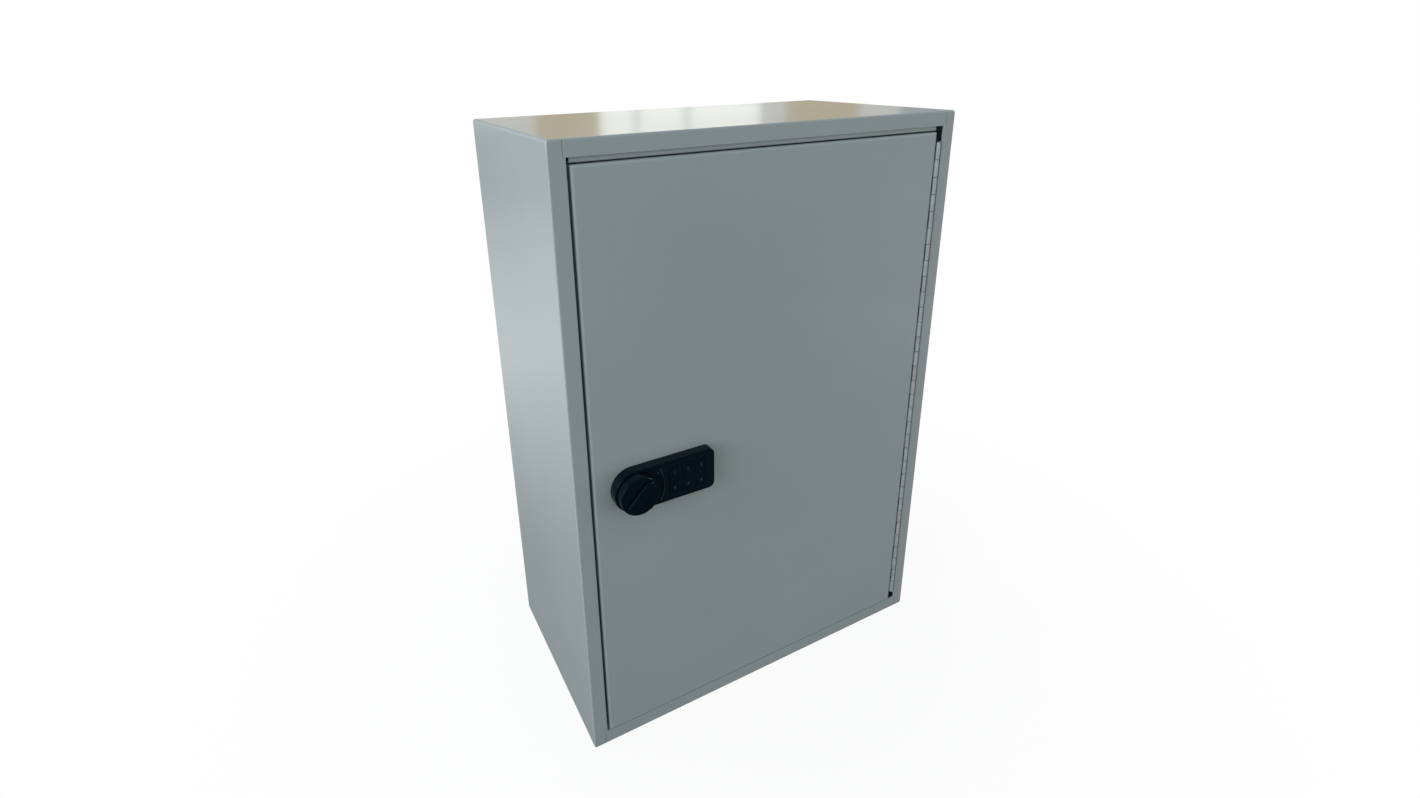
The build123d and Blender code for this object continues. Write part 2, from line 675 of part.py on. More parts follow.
# ---- knob, spindle and cam ----------------------------------------------------------------------
with BuildPart() as lock_sleeve:
    with BuildSketch(facing(SLEEVE_END)):
        with Locations((LOCK_X, LOCK_Z)):
            Circle(SLEEVE_R)
    extrude(amount=SLEEVE_END - PLATE_FACE)
    with BuildSketch(facing(PLATE_FACE)):
        with Locations((LOCK_X, LOCK_Z)):
            Circle(SLEEVE_FLANGE_R)
    extrude(amount=SLEEVE_FLANGE_T)
    with BuildSketch(facing(SLEEVE_END)):
        with Locations((LOCK_X, LOCK_Z)):
            Circle(SHAFT_R + RUN_GAP)
    extrude(amount=SLEEVE_END - CAVITY, mode=Mode.SUBTRACT)
lock_sleeve.part.label = "lock_sleeve"
export_step(lock_sleeve.part, "parts/lock_sleeve.step")

with BuildPart() as sleeve_washer:
    with BuildSketch(facing(DOOR_INSIDE + WASHER_T)):
        with Locations((LOCK_X, LOCK_Z)):
            Circle(SLEEVE_WASHER_R)
            Circle(SLEEVE_R + FIT_GAP, mode=Mode.SUBTRACT)
    extrude(amount=WASHER_T)
sleeve_washer.part.label = "sleeve_washer"
export_step(sleeve_washer.part, "parts/sleeve_washer.step")

with BuildPart() as sleeve_nut:
    with BuildSketch(facing(DOOR_INSIDE + WASHER_T + SLEEVE_NUT_T)):
        with Locations((LOCK_X, LOCK_Z)):
            RegularPolygon(SLEEVE_NUT_W / 2, 6, major_radius=False, rotation=30)
            Circle(SLEEVE_R + RUN_GAP, mode=Mode.SUBTRACT)
    extrude(amount=SLEEVE_NUT_T)
sleeve_nut.part.label = "sleeve_nut"
export_step(sleeve_nut.part, "parts/sleeve_nut.step")

# The drum turns in the housing; two notches a quarter turn apart take the blocking pin.
with BuildPart() as lock_spindle:
    with BuildSketch(facing(DRUM_BACK)):
        with Locations((LOCK_X, LOCK_Z)):
            Circle(DRUM_R)
    extrude(amount=DRUM_BACK - CAVITY - DRUM_GAP)
    for notch_x, notch_z in ((DRUM_R, 0.0), (0.0, DRUM_R)):
        with Locations((LOCK_X + notch_x, (DRUM_BACK + CAVITY) / 2, LOCK_Z + notch_z)):
            size_x = 2 * NOTCH_DEEP if notch_x else NOTCH_W
            size_z = 2 * NOTCH_DEEP if notch_z else NOTCH_W
            Box(size_x, DRUM_BACK - CAVITY, size_z, mode=Mode.SUBTRACT)
    with BuildSketch(facing(CAM_FACE - FIT_GAP)):
        with Locations((LOCK_X, LOCK_Z)):
            Circle(SHAFT_R)
    extrude(amount=CAM_FACE - FIT_GAP - BOSS_TOP)
    with BuildSketch(facing(CAM_FACE + CAM_T)):
        with Locations((LOCK_X, LOCK_Z)):
            Rectangle(CAM_SQUARE, CAM_SQUARE)
    extrude(amount=CAM_T + FIT_GAP)
    thread_l = WASHER_T + CAM_NUT_T + THREAD_END
    with BuildSketch(facing(CAM_FACE + CAM_T + thread_l)):
        with Locations((LOCK_X, LOCK_Z)):
            Circle(CAM_THREAD_R)
    extrude(amount=thread_l)
lock_spindle.part.label = "lock_spindle"
export_step(lock_spindle.part, "parts/lock_spindle.step")

knob_back = LOCK_FACE - RIB_PROUD - KNOB_GAP
skirt_face = FRONT - KNOB_SKIRT
grip_face = FRONT - KNOB_TALL
with BuildPart() as knob:
    with BuildSketch(facing(knob_back)):
        with Locations((LOCK_X, LOCK_Z)):
            Circle(KNOB_R)
    extrude(amount=knob_back - skirt_face)
    fillet(knob.faces().sort_by(Axis.Y)[0].edges(), KNOB_EDGE)
    with BuildSketch(facing(skirt_face)):
        with Locations((LOCK_X, LOCK_Z)):
            SlotOverall(GRIP_L, GRIP_W, rotation=GRIP_ANGLE)
    extrude(amount=KNOB_TALL - KNOB_SKIRT)
    fillet(knob.faces().sort_by(Axis.Y)[0].edges(), GRIP_EDGE)
    with BuildSketch(facing(knob_back)):
        with Locations((LOCK_X, LOCK_Z)):
            Circle(SHAFT_R + RUN_GAP)
    extrude(amount=knob_back - BOSS_TOP + FIT_GAP, mode=Mode.SUBTRACT)
knob.part.label = "knob"
export_step(knob.part, "parts/knob.step")

with BuildPart() as lock_cam:
    with BuildSketch(facing(CAM_FACE + CAM_T)):
        with Locations((LOCK_X, LOCK_Z)):
            Circle(CAM_W / 2)
        with Locations((LOCK_X, LOCK_Z - CAM_REACH / 2)):
            Rectangle(CAM_W, CAM_REACH)
        with Locations((LOCK_X, LOCK_Z)):
            Rectangle(CAM_SQUARE + FIT_GAP, CAM_SQUARE + FIT_GAP, mode=Mode.SUBTRACT)
    extrude(amount=CAM_T)
    fillet(lock_cam.edges().filter_by(Axis.Y).group_by(Axis.Z)[0], CAM_CORNER)
lock_cam.part.label = "lock_cam"
export_step(lock_cam.part, "parts/lock_cam.step")

with BuildPart() as cam_washer:
    with BuildSketch(facing(CAM_FACE + CAM_T + WASHER_T)):
        with Locations((LOCK_X, LOCK_Z)):
            Circle(CAM_WASHER_R)
            Circle(CAM_THREAD_R + FIT_GAP, mode=Mode.SUBTRACT)
    extrude(amount=WASHER_T)
cam_washer.part.label = "cam_washer"
export_step(cam_washer.part, "parts/cam_washer.step")

with BuildPart() as cam_nut:
    with BuildSketch(facing(CAM_FACE + CAM_T + WASHER_T + CAM_NUT_T)):
        with Locations((LOCK_X, LOCK_Z)):
            RegularPolygon(CAM_NUT_W / 2, 6, major_radius=False)
            Circle(CAM_THREAD_R + RUN_GAP, mode=Mode.SUBTRACT)
    extrude(amount=CAM_NUT_T)
cam_nut.part.label = "cam_nut"
export_step(cam_nut.part, "parts/cam_nut.step")

# ---- blocking pin -------------------------------------------------------------------------------
with BuildPart() as blocking_solenoid:
    with Locations((COIL_LEFT + COIL_L / 2, BLOCK_Y, LOCK_Z)):
        Box(COIL_L, COIL_T, COIL_H)
    fillet(blocking_solenoid.edges().filter_by(Axis.X), COIL_EDGE)
    with BuildSketch(Plane.YZ.offset(COIL_LEFT)):
        with Locations((BLOCK_Y, LOCK_Z)):
            Circle(BLOCK_R + RUN_GAP)
    extrude(amount=COIL_L - COIL_CAP, mode=Mode.SUBTRACT)
blocking_solenoid.part.label = "blocking_solenoid"
export_step(blocking_solenoid.part, "parts/blocking_solenoid.step")

with BuildPart() as blocking_pin:
    with BuildSketch(Plane.YZ.offset(BLOCK_REST)):
        with Locations((BLOCK_Y, LOCK_Z)):
            Circle(BLOCK_R)
    extrude(amount=BLOCK_L)
    fillet(blocking_pin.faces().sort_by(Axis.X)[0].edges(), PIN_EDGE)
blocking_pin.part.label = "blocking_pin"
export_step(blocking_pin.part, "parts/blocking_pin.step")

# ---- hook bars ----------------------------------------------------------------------------------
first_slot_z = BAR_TOP_Z - (SLOT_COUNT - 1) * SLOT_PITCH
for side, upright_x in (("left", -UPRIGHT_X), ("right", UPRIGHT_X)):
    with BuildPart() as upright:
        with BuildSketch(Plane.XY.offset(UPRIGHT_LOW)):
            with BuildLine():
                FilletPolyline(
                    (upright_x - UPRIGHT_W / 2, BACK - SHEET),
                    (upright_x - UPRIGHT_W / 2, UPRIGHT_FACE),
                    (upright_x + UPRIGHT_W / 2, UPRIGHT_FACE),
                    (upright_x + UPRIGHT_W / 2, BACK - SHEET),
                    radius=FOLD,
                )
                offset(amount=SHEET, side=Side.LEFT)
            make_face()
        extrude(amount=UPRIGHT_TALL)
        with BuildSketch(facing(UPRIGHT_FACE + SHEET)):
            with Locations((upright_x, (first_slot_z + BAR_TOP_Z) / 2)):
                with GridLocations(0.0, SLOT_PITCH, 1, SLOT_COUNT):
                    Rectangle(SLOT_W, SLOT_H)
        extrude(amount=SHEET, mode=Mode.SUBTRACT)
    upright.part.label = f"upright_{side}"
    export_step(upright.part, f"parts/upright_{side}.step")

hook_places = [(number - (HOOKS - 1) / 2) * HOOK_PITCH for number in range(HOOKS)]
for bar_number in range(1, BARS + 1):
    bar_z = BAR_TOP_Z - (bar_number - 1) * BAR_PITCH
    # folded bar with a ledge along its top and a hooked tab for each upright
    with BuildPart() as bar:
        with BuildSketch(Plane.YZ.offset(-BAR_L / 2)):
            with BuildLine():
                FilletPolyline(
                    (UPRIGHT_FACE, bar_z - BAR_H / 2),
                    (UPRIGHT_FACE, bar_z + BAR_H / 2),
                    (UPRIGHT_FACE - BAR_LEDGE, bar_z + BAR_H / 2),
                    radius=FOLD,
                )
                offset(amount=SHEET, side=Side.LEFT)
            make_face()
        extrude(amount=BAR_L)
        with BuildSketch(facing(UPRIGHT_FACE)):
            with Locations(*[(x, bar_z) for x in hook_places]):
                Circle(HOOK_R + HOOK_GAP)
        extrude(amount=SHEET, mode=Mode.SUBTRACT)
        for tab_x in (-UPRIGHT_X, UPRIGHT_X):
            with Locations((tab_x, UPRIGHT_FACE + TAB_IN / 2, bar_z + TAB_LIFT)):
                Box(TAB_W, TAB_IN, TAB_H)
            tab_top = bar_z + TAB_LIFT
            with Locations((tab_x, UPRIGHT_FACE + TAB_IN - TAB_T / 2, tab_top - TAB_HOOK / 2)):
                Box(TAB_W, TAB_T, TAB_HOOK)
    bar.part.label = f"hook_bar_{bar_number}"
    export_step(bar.part, f"parts/hook_bar_{bar_number}.step")
    # wire hooks set in the bar, turned up at the tip
    with BuildPart() as hooks:
        for hook_x in hook_places:
            with BuildLine() as wire:
                FilletPolyline(
                    (hook_x, UPRIGHT_FACE, bar_z),
                    (hook_x, UPRIGHT_FACE - HOOK_OUT, bar_z),
                    (hook_x, UPRIGHT_FACE - HOOK_OUT, bar_z + HOOK_UP),
                    radius=HOOK_BEND,
                )
            with BuildSketch(Plane((hook_x, UPRIGHT_FACE, bar_z), x_dir=(1, 0, 0), z_dir=(0, -1, 0))):
                Circle(HOOK_R)
            sweep(path=wire.line)
    hooks.part.label = f"hooks_{bar_number}"
    export_step(hooks.part, f"parts/hooks_{bar_number}.step")
    # plastic strip for the hook numbers
    with BuildPart() as number_strip:
        with BuildSketch(facing(BAR_FACE)):
            with Locations((0, bar_z - BAR_H / 2 + NUMBER_H / 2 + NUMBER_LIFT)):
                RectangleRounded(NUMBER_L, NUMBER_H, NUMBER_CORNER)
        extrude(amount=NUMBER_T)
    number_strip.part.label = f"number_strip_{bar_number}"
    export_step(number_strip.part, f"parts/number_strip_{bar_number}.step")
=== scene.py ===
import json
import math

import bmesh
import bpy
from mathutils import Matrix, Vector


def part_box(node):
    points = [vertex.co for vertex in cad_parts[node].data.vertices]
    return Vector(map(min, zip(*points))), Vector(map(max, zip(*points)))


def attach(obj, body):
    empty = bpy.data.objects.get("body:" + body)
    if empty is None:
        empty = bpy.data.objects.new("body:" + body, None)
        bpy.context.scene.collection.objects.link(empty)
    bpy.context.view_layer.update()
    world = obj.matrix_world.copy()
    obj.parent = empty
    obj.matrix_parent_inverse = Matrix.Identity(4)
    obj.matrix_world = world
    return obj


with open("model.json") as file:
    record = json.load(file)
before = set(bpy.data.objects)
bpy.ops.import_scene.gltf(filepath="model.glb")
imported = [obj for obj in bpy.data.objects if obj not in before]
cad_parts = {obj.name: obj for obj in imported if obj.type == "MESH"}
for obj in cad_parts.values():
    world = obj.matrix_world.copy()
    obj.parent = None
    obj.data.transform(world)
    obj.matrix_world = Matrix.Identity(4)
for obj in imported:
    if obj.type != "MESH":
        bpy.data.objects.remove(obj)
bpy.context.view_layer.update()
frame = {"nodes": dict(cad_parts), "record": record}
NODES = frame["nodes"]
MM = 0.001


# ---- places, all from the frame -----------------------------------------------------------------
def centre(node):
    low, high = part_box(node)
    return (low + high) / 2


KEY_COUNT = 6
BARS = 5
HOOKS = 10
HOOK_PITCH = 33 * MM
LEGEND_SIZE = 4.6 * MM  # height of the type on the keys
NUMBER_SIZE = 6.5 * MM  # height of the type on the number strips
PRINT = 0.04 * MM  # thickness of the print
KNUCKLES = 32
KNUCKLE_R = 1.9 * MM
RIB_R = 32 * MM  # radius of the curved rib on the lock, to the middle of the rib
RIB_OFFSET = 6.7 * MM  # the rib's centre lies this far to the left of the knob's
RIB_HALF_W = 0.8 * MM
RIB_HALF_H = 15 * MM
FLOOR = 6.0  # half width of the floor


# ---- materials ----------------------------------------------------------------------------------
class Shader:
    """A node tree that is filled from left to right."""

    def __init__(self, name):
        self.material = bpy.data.materials.new(name)
        self.material.use_nodes = True
        self.tree = self.material.node_tree
        self.surface = self.tree.nodes["Principled BSDF"]
        self.coordinates = self.add("ShaderNodeTexCoord").outputs["Object"]

    def add(self, kind, **values):
        node = self.tree.nodes.new(kind)
        for key, value in values.items():
            setattr(node, key, value)
        return node

    def join(self, source, target):
        self.tree.links.new(source, target)

    def noise(self, scale, detail=2.0, roughness=0.5):
        """Noise in object space; scale is in features per metre."""
        node = self.add("ShaderNodeTexNoise")
        node.inputs["Scale"].default_value = scale
        node.inputs["Detail"].default_value = detail
        node.inputs["Roughness"].default_value = roughness
        self.join(self.coordinates, node.inputs["Vector"])
        return node.outputs["Fac"]

    def spread(self, source, low, high, out_low=0.0, out_high=1.0):
        """Maps source from low..high to out_low..out_high, clamped."""
        node = self.add("ShaderNodeMapRange")
        node.inputs["From Min"].default_value = low
        node.inputs["From Max"].default_value = high
        node.inputs["To Min"].default_value = out_low
        node.inputs["To Max"].default_value = out_high
        self.join(source, node.inputs["Value"])
        return node.outputs["Result"]

    def mix(self, factor, first, second):
        """Mixes two colours; each may be a socket or a plain colour."""
        node = self.add("ShaderNodeMix", data_type="RGBA")
        for name, value in (("A", first), ("B", second)):
            socket = [s for s in node.inputs if s.name == name and s.type == "RGBA"][0]
            if isinstance(value, tuple):
                socket.default_value = (*value, 1.0)
            else:
                self.join(value, socket)
        self.join(factor, node.inputs["Factor"])
        return [s for s in node.outputs if s.type == "RGBA"][0]

    def combine(self, operation, first, second):
        node = self.add("ShaderNodeMath", operation=operation)
        for socket, value in zip(node.inputs, (first, second)):
            if isinstance(value, float):
                socket.default_value = value
            else:
                self.join(value, socket)
        return node.outputs[0]

    def from_point(self, point, along):
        """(offset from a point, its length) in object space, with the axes not in along left out."""
        offset = self.add("ShaderNodeVectorMath", operation="SUBTRACT")
        self.join(self.coordinates, offset.inputs[0])
        offset.inputs[1].default_value = point
        flat = self.add("ShaderNodeVectorMath", operation="MULTIPLY")
        self.join(offset.outputs["Vector"], flat.inputs[0])
        flat.inputs[1].default_value = along
        length = self.add("ShaderNodeVectorMath", operation="LENGTH")
        self.join(flat.outputs["Vector"], length.inputs[0])
        parts = self.add("ShaderNodeSeparateXYZ")
        self.join(offset.outputs["Vector"], parts.inputs[0])
        return parts.outputs, length.outputs["Value"]

    def bump(self, source, height, strength=1.0, below=None):
        """Bumps the surface by height metres at full source."""
        node = self.add("ShaderNodeBump")
        node.inputs["Strength"].default_value = strength
        node.inputs["Distance"].default_value = height
        self.join(source, node.inputs["Height"])
        if below is not None:
            self.join(below, node.inputs["Normal"])
        return node.outputs["Normal"]

    def edges(self, radius, amount=0.5):
        """About 1 along sharp outer edges within radius metres, 0 on flats."""
        bevel = self.add("ShaderNodeBevel", samples=4)
        bevel.inputs["Radius"].default_value = radius
        geometry = self.add("ShaderNodeNewGeometry")
        dot = self.add("ShaderNodeVectorMath", operation="DOT_PRODUCT")
        self.join(bevel.outputs["Normal"], dot.inputs[0])
        self.join(geometry.outputs["Normal"], dot.inputs[1])
        return self.spread(dot.outputs["Value"], 1.0, 1.0 - amount)

    def finish(self, colour, roughness, normal=None, metallic=0.0, coat=0.0, gloss=0.5, tint=(1, 1, 1)):
        for name, value in (("Base Color", colour), ("Roughness", roughness), ("Normal", normal)):
            if isinstance(value, float):
                self.surface.inputs[name].default_value = value
            elif value is not None:
                self.join(value, self.surface.inputs[name])
        self.surface.inputs["Metallic"].default_value = metallic
        self.surface.inputs["Coat Weight"].default_value = coat
        self.surface.inputs["Coat Roughness"].default_value = 0.10
        self.surface.inputs["Specular IOR Level"].default_value = gloss
        self.surface.inputs["Specular Tint"].default_value = (*tint, 1.0)
        return self.material


def powder_coat(name, colour, roughness, wave=0.0, coat=0.0):
    """Semi-gloss powder coat: fine orange peel, faint tone drift, lighter worn edges."""
    s = Shader(name)
    dark = tuple(c * 0.94 for c in colour)
    light = tuple(min(1.0, c * 1.04) for c in colour)
    drift = s.spread(s.noise(3.2, 3.0), 0.3, 0.7)
    speckle = s.spread(s.noise(1500.0, 1.0), 0.35, 0.65)
    tone = s.mix(drift, dark, light)
    tone = s.mix(s.combine("MULTIPLY", speckle, 0.10), tone, tuple(c * 0.8 for c in colour))
    worn = s.combine("MULTIPLY", s.edges(0.0006), s.spread(s.noise(60.0, 4.0), 0.45, 0.75))
    tone = s.mix(s.combine("MULTIPLY", worn, 0.35), tone, tuple(min(1.0, c * 1.35) for c in colour))
    smears = s.spread(s.noise(9.0, 5.0, 0.6), 0.35, 0.75, roughness - 0.02, roughness + 0.05)
    normal = s.bump(s.noise(650.0, 2.0), 0.00012, 0.35)
    if wave:
        normal = s.bump(s.noise(5.5, 1.0, 0.4), wave, 1.0, below=normal)
    return s.finish(tone, smears, normal, coat=coat)


def plated(name, colour, roughness, hinge=None, metallic=1.0):
    """Zinc-plated steel with a faint brushed grain and dull patches.

    hinge is (foot of the pin, pitch of the knuckles, radius); painted shade darkens the gaps between the
    knuckles.
    """
    s = Shader(name)
    patches = s.spread(s.noise(180.0, 4.0), 0.35, 0.7)
    tone = s.mix(patches, colour, tuple(c * 0.82 for c in colour))
    if hinge:
        foot, pitch, radius = hinge
        # Painted shade: dark bands at the gaps between the knuckles, close to the pin.
        offset, from_pin = s.from_point(foot, (1, 1, 0))
        away = s.combine("PINGPONG", s.combine("DIVIDE", offset["Z"], pitch), 0.5)
        painted_gap_shade = s.spread(away, 0.01, 0.035, 0.75, 0.0)
        painted_gap_shade = s.combine("MULTIPLY", painted_gap_shade, s.spread(from_pin, radius, radius * 1.1, 1.0, 0.0))
        tone = s.mix(painted_gap_shade, tone, tuple(c * 0.15 for c in colour))
    rough = s.spread(s.noise(420.0, 3.0), 0.3, 0.7, roughness, roughness + 0.16)
    return s.finish(tone, rough, s.bump(s.noise(2600.0, 2.0), 0.00002, 0.3), metallic=metallic)


def moulded(name, colour, roughness, grain=1800.0, height=0.00004, rib=None, **surface):
    """Moulded plastic or rubber with a fine grain and a painted highlight along its edges.

    rib is (centre, radius, half width, half height) of a curved rib that gets a painted highlight, brightest
    at its ends.
    """
    s = Shader(name)
    # light is the colour of a painted highlight; the edges below are mixed towards it.
    light = tuple(min(1.0, c * 2 + 0.004) for c in colour)
    mottled = s.mix(s.spread(s.noise(240.0, 3.0), 0.35, 0.7), colour, tuple(c * 1.18 for c in colour))
    tone = s.mix(s.combine("MULTIPLY", s.edges(0.0004), 0.45), mottled, light)
    # Painted highlight on the curved rib: strongest towards its ends and cut off past its half height.
    if rib:
        middle, radius, half_width, half_height = rib
        offset, from_middle = s.from_point(middle, (1, 0, 1))
        aside = s.combine("ABSOLUTE", s.combine("SUBTRACT", from_middle, radius), 0.0)
        painted_rib_highlight = s.spread(aside, half_width * 0.6, half_width, 1.0, 0.0)
        up = s.combine("ABSOLUTE", offset["Z"], 0.0)
        painted_rib_highlight = s.combine("MULTIPLY", painted_rib_highlight, s.spread(up, half_height * 0.3, half_height, 0.35, 1.0))
        painted_rib_highlight = s.combine("MULTIPLY", painted_rib_highlight, s.spread(up, half_height, half_height * 1.03, 1.0, 0.0))
        tone = s.mix(painted_rib_highlight, tone, (0.022, 0.05, 0.07))
    rough = s.spread(s.noise(130.0, 4.0), 0.3, 0.7, roughness - 0.05, roughness + 0.06)
    return s.finish(tone, rough, s.bump(s.noise(grain, 2.0), height, 0.4), **surface)


GREY = (0.43, 0.475, 0.475)
BLUE = (0.3, 0.72, 1.0)
HINGE_LOW, HINGE_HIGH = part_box("hinge_pin")
HINGE_L = HINGE_HIGH.z - HINGE_LOW.z
HINGE_FOOT = centre("hinge_pin") - Vector((0, 0, HINGE_L / 2))
# Where painted shade darkens the gaps between the hinge knuckles.
HINGE = (HINGE_FOOT, HINGE_L / KNUCKLES, KNUCKLE_R)
# Where the painted highlight on the lock's curved rib lies.
RIB = (centre("knob") - Vector((RIB_OFFSET, 0, 0)), RIB_R, RIB_HALF_W, RIB_HALF_H)
MATERIALS = {
    "grey_paint": powder_coat("grey_paint", GREY, 0.30, wave=0.0009, coat=0.7),
    "hinge_zinc": plated("hinge_zinc", (0.56, 0.60, 0.60), 0.42, HINGE, 0.2),
    "bar_paint": powder_coat("bar_paint", (0.58, 0.60, 0.60), 0.36),
    "plated_steel": plated("plated_steel", (0.72, 0.71, 0.68), 0.26),
    "zinc_casting": plated("zinc_casting", (0.5, 0.5, 0.49), 0.36),
    "black_plastic": moulded("black_plastic", (0.001, 0.004, 0.008), 0.30, gloss=0.25, tint=BLUE),
    "lock_cover": moulded("lock_cover", (0.001, 0.004, 0.008), 0.30, rib=RIB, gloss=0.25, tint=BLUE),
    "black_gloss": moulded("black_gloss", (0.0005, 0.003, 0.007), 0.16, gloss=0.5, tint=BLUE),
    "key_rubber": moulded("key_rubber", (0.001, 0.005, 0.010), 0.36, gloss=0.25, tint=BLUE),
    "black_rubber": moulded("black_rubber", (0.02, 0.02, 0.02), 0.75, grain=900.0),
    "white_plastic": moulded("white_plastic", (0.80, 0.80, 0.77), 0.4),
    "board": moulded("board", (0.02, 0.16, 0.07), 0.35),
    "coil_plastic": moulded("coil_plastic", (0.05, 0.05, 0.055), 0.5),
    "lens": moulded("lens", (0.01, 0.014, 0.02), 0.25),
    "print_white": moulded("print_white", (0.035, 0.075, 0.10), 0.45),
    "print_black": moulded("print_black", (0.03, 0.03, 0.03), 0.5),
}


def paint(obj, slot_name, material=None):
    obj.data.materials.clear()
    obj.data.materials.append(MATERIALS[material or slot_name])


for part in frame["record"]["subparts"]:
    special = "hinge_zinc" if part["node"].startswith("hinge_") else None
    if part["node"] == "lock_housing":
        special = "lock_cover"
    paint(NODES[part["node"]], part["material_slot"], special)

scene = bpy.context.scene
scene.view_settings.view_transform = "Standard"


def link(obj):
    scene.collection.objects.link(obj)
    return obj


# ---- printed numbers ----------------------------------------------------------------------------
UPRIGHT_TEXT = Matrix.Rotation(math.pi / 2, 4, "X")


def digits(words, size):
    """One mesh of printed words; words is a list of (text, place), each centred on its place."""
    whole = bmesh.new()
    for text, place in words:
        curve = bpy.data.curves.new("digits", "FONT")
        curve.body = text
        curve.size = size
        curve.extrude = PRINT / 2
        curve.resolution_u = 3
        curve.align_x = "CENTER"
        curve.align_y = "CENTER"
        source = link(bpy.data.objects.new("digits", curve))
        bpy.context.view_layer.update()
        mesh = bpy.data.meshes.new_from_object(source)
        mesh.transform(Matrix.Translation(place) @ UPRIGHT_TEXT)
        whole.from_mesh(mesh)
        bpy.data.objects.remove(source)
        bpy.data.meshes.remove(mesh)
    bmesh.ops.remove_doubles(whole, verts=whole.verts, dist=1e-6)
    bmesh.ops.recalc_face_normals(whole, faces=whole.faces)
    mesh = bpy.data.meshes.new("print")
    whole.to_mesh(mesh)
    whole.free()
    return mesh


for number in range(1, KEY_COUNT + 1):
    low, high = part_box(f"key_{number}")
    place = Vector(((low.x + high.x) / 2, low.y - PRINT / 2, (low.z + high.z) / 2))
    mesh = digits([(str(number), place)], LEGEND_SIZE)
    legend = link(bpy.data.objects.new(f"key_legend_{number}", mesh))
    paint(legend, "white_plastic", "print_white")
    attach(legend, f"key_{number}")

for bar in range(1, BARS + 1):
    low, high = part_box(f"number_strip_{bar}")
    words = []
    for hook in range(HOOKS):
        hook_x = (hook - (HOOKS - 1) / 2) * HOOK_PITCH
        place = Vector((hook_x, low.y - PRINT / 2, (low.z + high.z) / 2))
        words.append((str((bar - 1) * HOOKS + hook + 1), place))
    row = link(bpy.data.objects.new(f"hook_numbers_{bar}", digits(words, NUMBER_SIZE)))
    paint(row, "black_plastic", "print_black")
    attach(row, "cabinet")


# ---- stage --------------------------------------------------------------------------------------
def plane(name, corners, material):
    """A single stage rectangle given by its four corners."""
    mesh = bpy.data.meshes.new(name)
    mesh.from_pydata([Vector(c) for c in corners], [], [range(len(corners))])
    mesh.materials.append(material)
    obj = link(bpy.data.objects.new(name, mesh))
    return obj


# The floor is pale and fades to white for the camera, and is dim for every other ray.
floor_shader = Shader("studio_floor")
pale = floor_shader.mix(
    floor_shader.spread(floor_shader.noise(2.0, 2.0), 0.3, 0.7), (0.86, 0.86, 0.855), (0.88, 0.88, 0.875)
)
floor_rays = floor_shader.add("ShaderNodeLightPath")
floor_shader.finish(floor_shader.mix(floor_rays.outputs["Is Camera Ray"], (0.18, 0.17, 0.155), pale), 0.8)
distance = floor_shader.add("ShaderNodeVectorMath", operation="LENGTH")
floor_shader.join(floor_shader.coordinates, distance.inputs[0])
place = floor_shader.add("ShaderNodeSeparateXYZ")
floor_shader.join(floor_shader.coordinates, place.inputs[0])
# The floor glows for glossy rays only, mostly behind the object: a painted reflection on the object's sides.
sheen = floor_shader.spread(distance.outputs["Value"], 0.30, 0.9, 0.0, 0.48)
dimmed = floor_shader.spread(distance.outputs["Value"], 1.0, 3.0, 1.0, 0.2)
sheen = floor_shader.combine("MULTIPLY", sheen, dimmed)
sheen = floor_shader.combine("MULTIPLY", sheen, floor_shader.spread(place.outputs["Y"], -0.1, 0.4))
sheen = floor_shader.combine("MULTIPLY", sheen, floor_rays.outputs["Is Glossy Ray"])
floor_shader.surface.inputs["Emission Color"].default_value = (0.97, 1.0, 0.99, 1)
floor_shader.join(sheen, floor_shader.surface.inputs["Emission Strength"])
white = floor_shader.add("ShaderNodeEmission")
white.inputs["Strength"].default_value = 1.0
fade = floor_shader.add("ShaderNodeMixShader")
far = floor_shader.spread(distance.outputs["Value"], 0.22, 0.62, 0.92, 1.0)
floor_shader.join(floor_shader.combine("MULTIPLY", far, floor_rays.outputs["Is Camera Ray"]), fade.inputs[0])
floor_shader.join(floor_shader.surface.outputs[0], fade.inputs[1])
floor_shader.join(white.outputs[0], fade.inputs[2])
floor_shader.join(fade.outputs[0], floor_shader.tree.nodes["Material Output"].inputs["Surface"])
plane(
    "studio_floor",
    [(-FLOOR, -FLOOR, 0), (FLOOR, -FLOOR, 0), (FLOOR, FLOOR, 0), (-FLOOR, FLOOR, 0)],
    floor_shader.material,
)

# The sky is white to the camera. Behind the object it mirrors as a row of plain upright panels.
SHADE = (0.30, 0.32, 0.32)
GREY_PANEL = (0.54, 0.53, 0.49)
TAN_PANEL = (0.44, 0.36, 0.22)
WHITE_PANEL = (0.98, 1.00, 0.92)
BAR = (0.71, 0.75, 0.69)  # slim bars that divide the white panel
PANELS = (  # (degrees from +Y towards +X, colour from there on)
    (0, SHADE),
    (12, GREY_PANEL),
    (17, TAN_PANEL),
    (22, WHITE_PANEL),
    (24.5, BAR),
    (25.2, WHITE_PANEL),
    (28.5, BAR),
    (29.2, WHITE_PANEL),
    (34.5, GREY_PANEL),
    (36.5, TAN_PANEL),
    (42, GREY_PANEL),
    (45, SHADE),
)
PANEL_GAIN = 1.2
PANEL_SOFT = 0.3  # degrees by which the edge of a panel is softened, each way
world = bpy.data.worlds.new("studio")
world.use_nodes = True
scene.world = world
sky = world.node_tree


def sky_node(kind, inputs=(), **values):
    node = sky.nodes.new(kind)
    for key, value in values.items():
        setattr(node, key, value)
    for socket, value in zip(node.inputs, inputs):
        if isinstance(value, (float, tuple)):
            socket.default_value = value
        else:
            sky.links.new(value, socket)
    return node


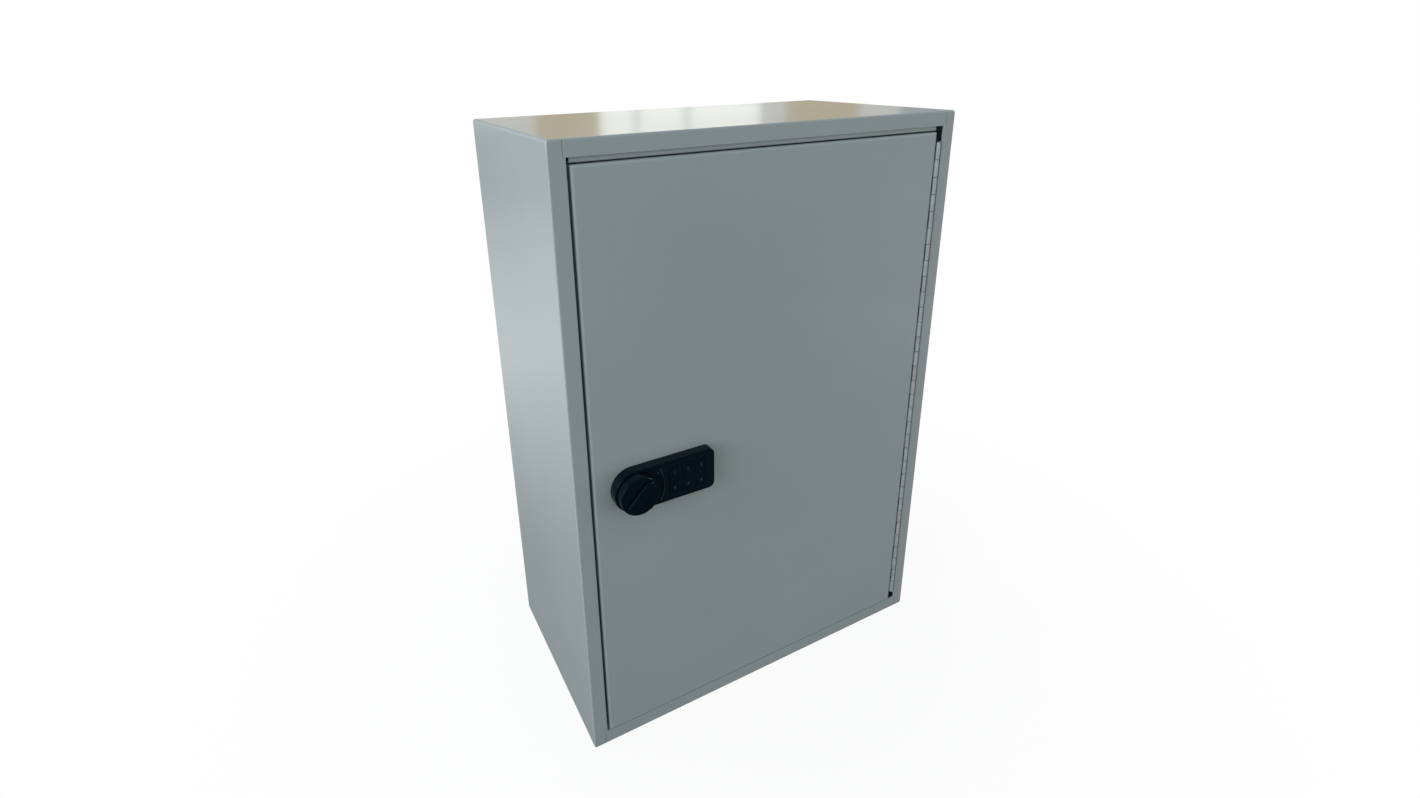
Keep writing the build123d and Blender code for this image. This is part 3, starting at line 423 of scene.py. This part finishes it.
toward = sky_node("ShaderNodeTexCoord").outputs["Generated"]
bearing = sky_node("ShaderNodeSeparateXYZ", (toward,)).outputs
turned = sky_node("ShaderNodeMath", (bearing["X"], bearing["Y"]), operation="ARCTAN2").outputs[0]
quarter = sky_node("ShaderNodeMath", (turned, math.pi / 2), operation="DIVIDE").outputs[0]
panels = sky_node("ShaderNodeValToRGB", (quarter,))
stops = panels.color_ramp.elements
stops.remove(stops[1])
for index, (start, colour) in enumerate(PANELS):
    end = PANELS[min(index + 1, len(PANELS) - 1)][0]
    for at in (start + PANEL_SOFT, end - PANEL_SOFT):
        if at / 90 > stops[len(stops) - 1].position:
            stops.new(at / 90).color = (*colour, 1.0)
stops[0].color = (*SHADE, 1.0)
behind = sky_node("ShaderNodeMapRange", (bearing["Y"], 0.0, 0.25, 0.0, PANEL_GAIN)).outputs["Result"]
mirrored = sky_node("ShaderNodeBackground", (panels.outputs["Color"], behind))
# In front it mirrors as a dim room with soft lighter patches.
patches = sky_node("ShaderNodeTexNoise")
sky.links.new(toward, patches.inputs["Vector"])
patches.inputs["Scale"].default_value = 2.6
lighter = sky_node("ShaderNodeMapRange", (patches.outputs["Fac"], 0.40, 0.62, 0.0, 0.45)).outputs["Result"]
ahead = sky_node("ShaderNodeMapRange", (bearing["Y"], 0.0, -0.25, 0.0, 1.0)).outputs["Result"]
dim = sky_node("ShaderNodeMath", (lighter, ahead), operation="MULTIPLY").outputs[0]
room = sky_node("ShaderNodeBackground", ((0.85, 0.98, 1.0, 1.0), dim))
around = sky_node("ShaderNodeAddShader", (mirrored.outputs[0], room.outputs[0]))
fill = sky_node("ShaderNodeBackground", ((0.93, 1.02, 1.08, 1.0), 0.53))
seen = sky_node("ShaderNodeBackground", ((1.0, 1.0, 1.0, 1.0), 1.0))
rays = sky_node("ShaderNodeLightPath").outputs
unseen = sky_node("ShaderNodeMixShader", (rays["Is Glossy Ray"], fill.outputs[0], around.outputs[0]))
choice = sky_node("ShaderNodeMixShader", (rays["Is Camera Ray"], unseen.outputs[0], seen.outputs[0]))
sky.links.new(choice.outputs[0], sky.nodes["World Output"].inputs["Surface"])


def softbox(name, at, aim, width, height, power, colour, glossy=False, diffuse=True):
    """Area light at a place, turned to aim, that shines on gloss, on matt surfaces or on both."""
    data = bpy.data.lights.new(name, "AREA")
    data.shape = "RECTANGLE"
    data.size = width
    data.size_y = height
    data.energy = power
    data.color = colour
    obj = link(bpy.data.objects.new(name, data))
    obj.location = at
    obj.visible_glossy = glossy
    obj.visible_diffuse = diffuse
    obj.rotation_euler = (Vector(aim) - Vector(at)).to_track_quat("-Z", "Y").to_euler()
    return obj


softbox("left_softbox", (-2.3, -0.8, 1.0), (0, 0, 0.3), 1.2, 1.6, 24, (0.90, 0.98, 1.08), glossy=True)
softbox("near_softbox", (-1.5, 0.55, 0.60), (0, 0, 0.3), 0.8, 0.8, 9, (0.97, 1.01, 1.0))
softbox("right_softbox", (0.9, -0.9, 0.12), (0.1, -0.1, 0.15), 0.6, 0.6, 2.6, (1.0, 0.97, 0.84))
softbox("rim_softbox", (1.5, -0.4, 0.9), (-0.1, -0.1, 0.3), 0.4, 0.4, 5, (1, 1, 1), True, False)

# ---- camera -------------------------------------------------------------------------------------
CAMERA_AT = Vector((-0.33626, -0.56167, 0.60016))
CAMERA_AZIMUTH = math.radians(-28.00)
CAMERA_DOWN = math.radians(20.32)
CAMERA_ROLL = math.radians(-1.097)
camera_data = bpy.data.cameras.new("camera")
camera_data.sensor_width = 36.0
camera_data.lens = 17.895
camera_data.shift_x = 0.02082
camera_data.shift_y = -0.05795
camera_data.clip_start = 0.01
camera = link(bpy.data.objects.new("camera", camera_data))
turn = Matrix.Rotation(CAMERA_AZIMUTH, 4, "Z") @ Matrix.Rotation(math.pi / 2 - CAMERA_DOWN, 4, "X")
camera.matrix_world = Matrix.Translation(CAMERA_AT) @ turn @ Matrix.Rotation(CAMERA_ROLL, 4, "Z")
scene.camera = camera
